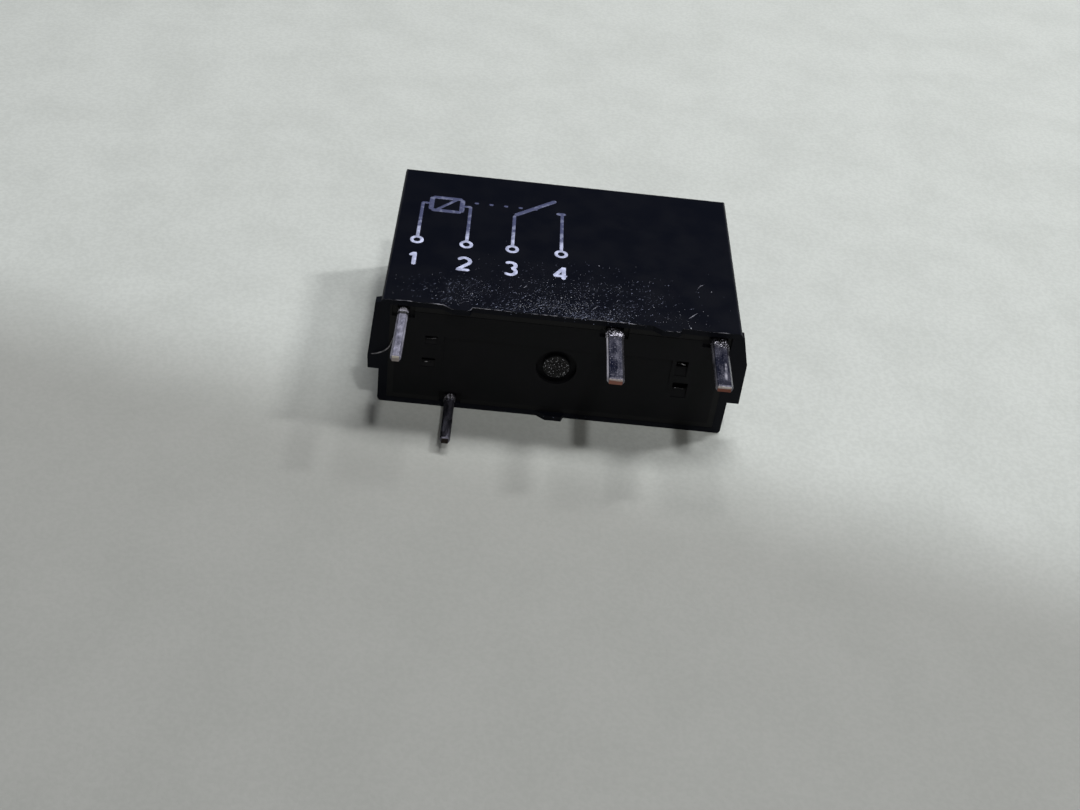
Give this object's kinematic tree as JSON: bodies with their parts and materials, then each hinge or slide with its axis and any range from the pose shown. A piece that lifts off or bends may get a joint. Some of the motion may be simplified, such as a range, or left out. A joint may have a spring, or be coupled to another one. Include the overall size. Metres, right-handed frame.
{
  "type": "electromagnetic relay",
  "caption": "Slim sealed relay for a circuit board: a black moulded case with four flat pins, and a coil, armature, card and leaf-spring contact inside.",
  "frame": {"origin": "centre of the terminal grid, in the plane of the board that the feet stand on", "axes": "+X along the relay's length from the coil terminals to the contact terminals, +Y away from the board, +Z out of the marked face, which faces up as the relay lies in the picture"},
  "size_m": [0.0186, 0.0159, 0.0064],
  "materials": {
    "black_cover": "satin black moulded polyester",
    "black_base": "dull black moulded polyester",
    "resin": "dark epoxy sealing resin",
    "bobbin_plastic": "natural moulded nylon",
    "enamelled_wire": "enamelled copper wire",
    "plated_iron": "nickel plated soft iron",
    "spring_copper": "copper alloy spring strip",
    "card_plastic": "moulded liquid crystal polymer",
    "contact_silver": "silver alloy",
    "tinned_strip": "tinned copper alloy strip",
    "solder": "soft solder"
  },
  "bodies": {
    "housing": {"cover": "black_cover", "base": "black_base", "sealing_resin": "resin", "bobbin": "bobbin_plastic", "winding": "enamelled_wire", "core": "plated_iron", "yoke": "plated_iron", "hinge_spring": "spring_copper", "hinge_spring_rivets": "plated_iron", "moving_terminal": "tinned_strip", "fixed_terminal": "tinned_strip", "fixed_contact": "contact_silver", "coil_terminal_a": "tinned_strip", "coil_terminal_b": "tinned_strip", "coil_lead_a": "enamelled_wire", "coil_lead_b": "enamelled_wire", "coil_solder_a": "solder", "coil_solder_b": "solder"},
    "armature": {"armature": "plated_iron"},
    "card": {"card": "card_plastic"},
    "moving_spring": {"moving_spring": "spring_copper", "moving_contact": "contact_silver", "moving_spring_rivets": "spring_copper"}
  },
  "joints": [
    {"name": "armature_pivot", "type": "hinge", "parent": "housing", "child": "armature", "pos_m": [0.0015, 0.0102, 0], "axis": [0, 0, 1], "range_deg": [0, 5.5], "stiffness_Nm_per_rad": 0.004, "springref_deg": -5.73},
    {"name": "card_link", "type": "hinge", "parent": "armature", "child": "card", "pos_m": [0.00193, 0.00725, 0], "axis": [0, 0, 1], "range_deg": [-6.28, 0]},
    {"name": "moving_spring_flex", "type": "hinge", "parent": "housing", "child": "moving_spring", "pos_m": [0.00632, 0.0023, 0], "axis": [0, 0, 1], "range_deg": [-3.29, 0]}
  ],
  "couplings": [
    {"joint": "card_link", "follows": "armature_pivot", "ratio": -1.14},
    {"joint": "moving_spring_flex", "follows": "armature_pivot", "ratio": -0.59642}
  ]
}
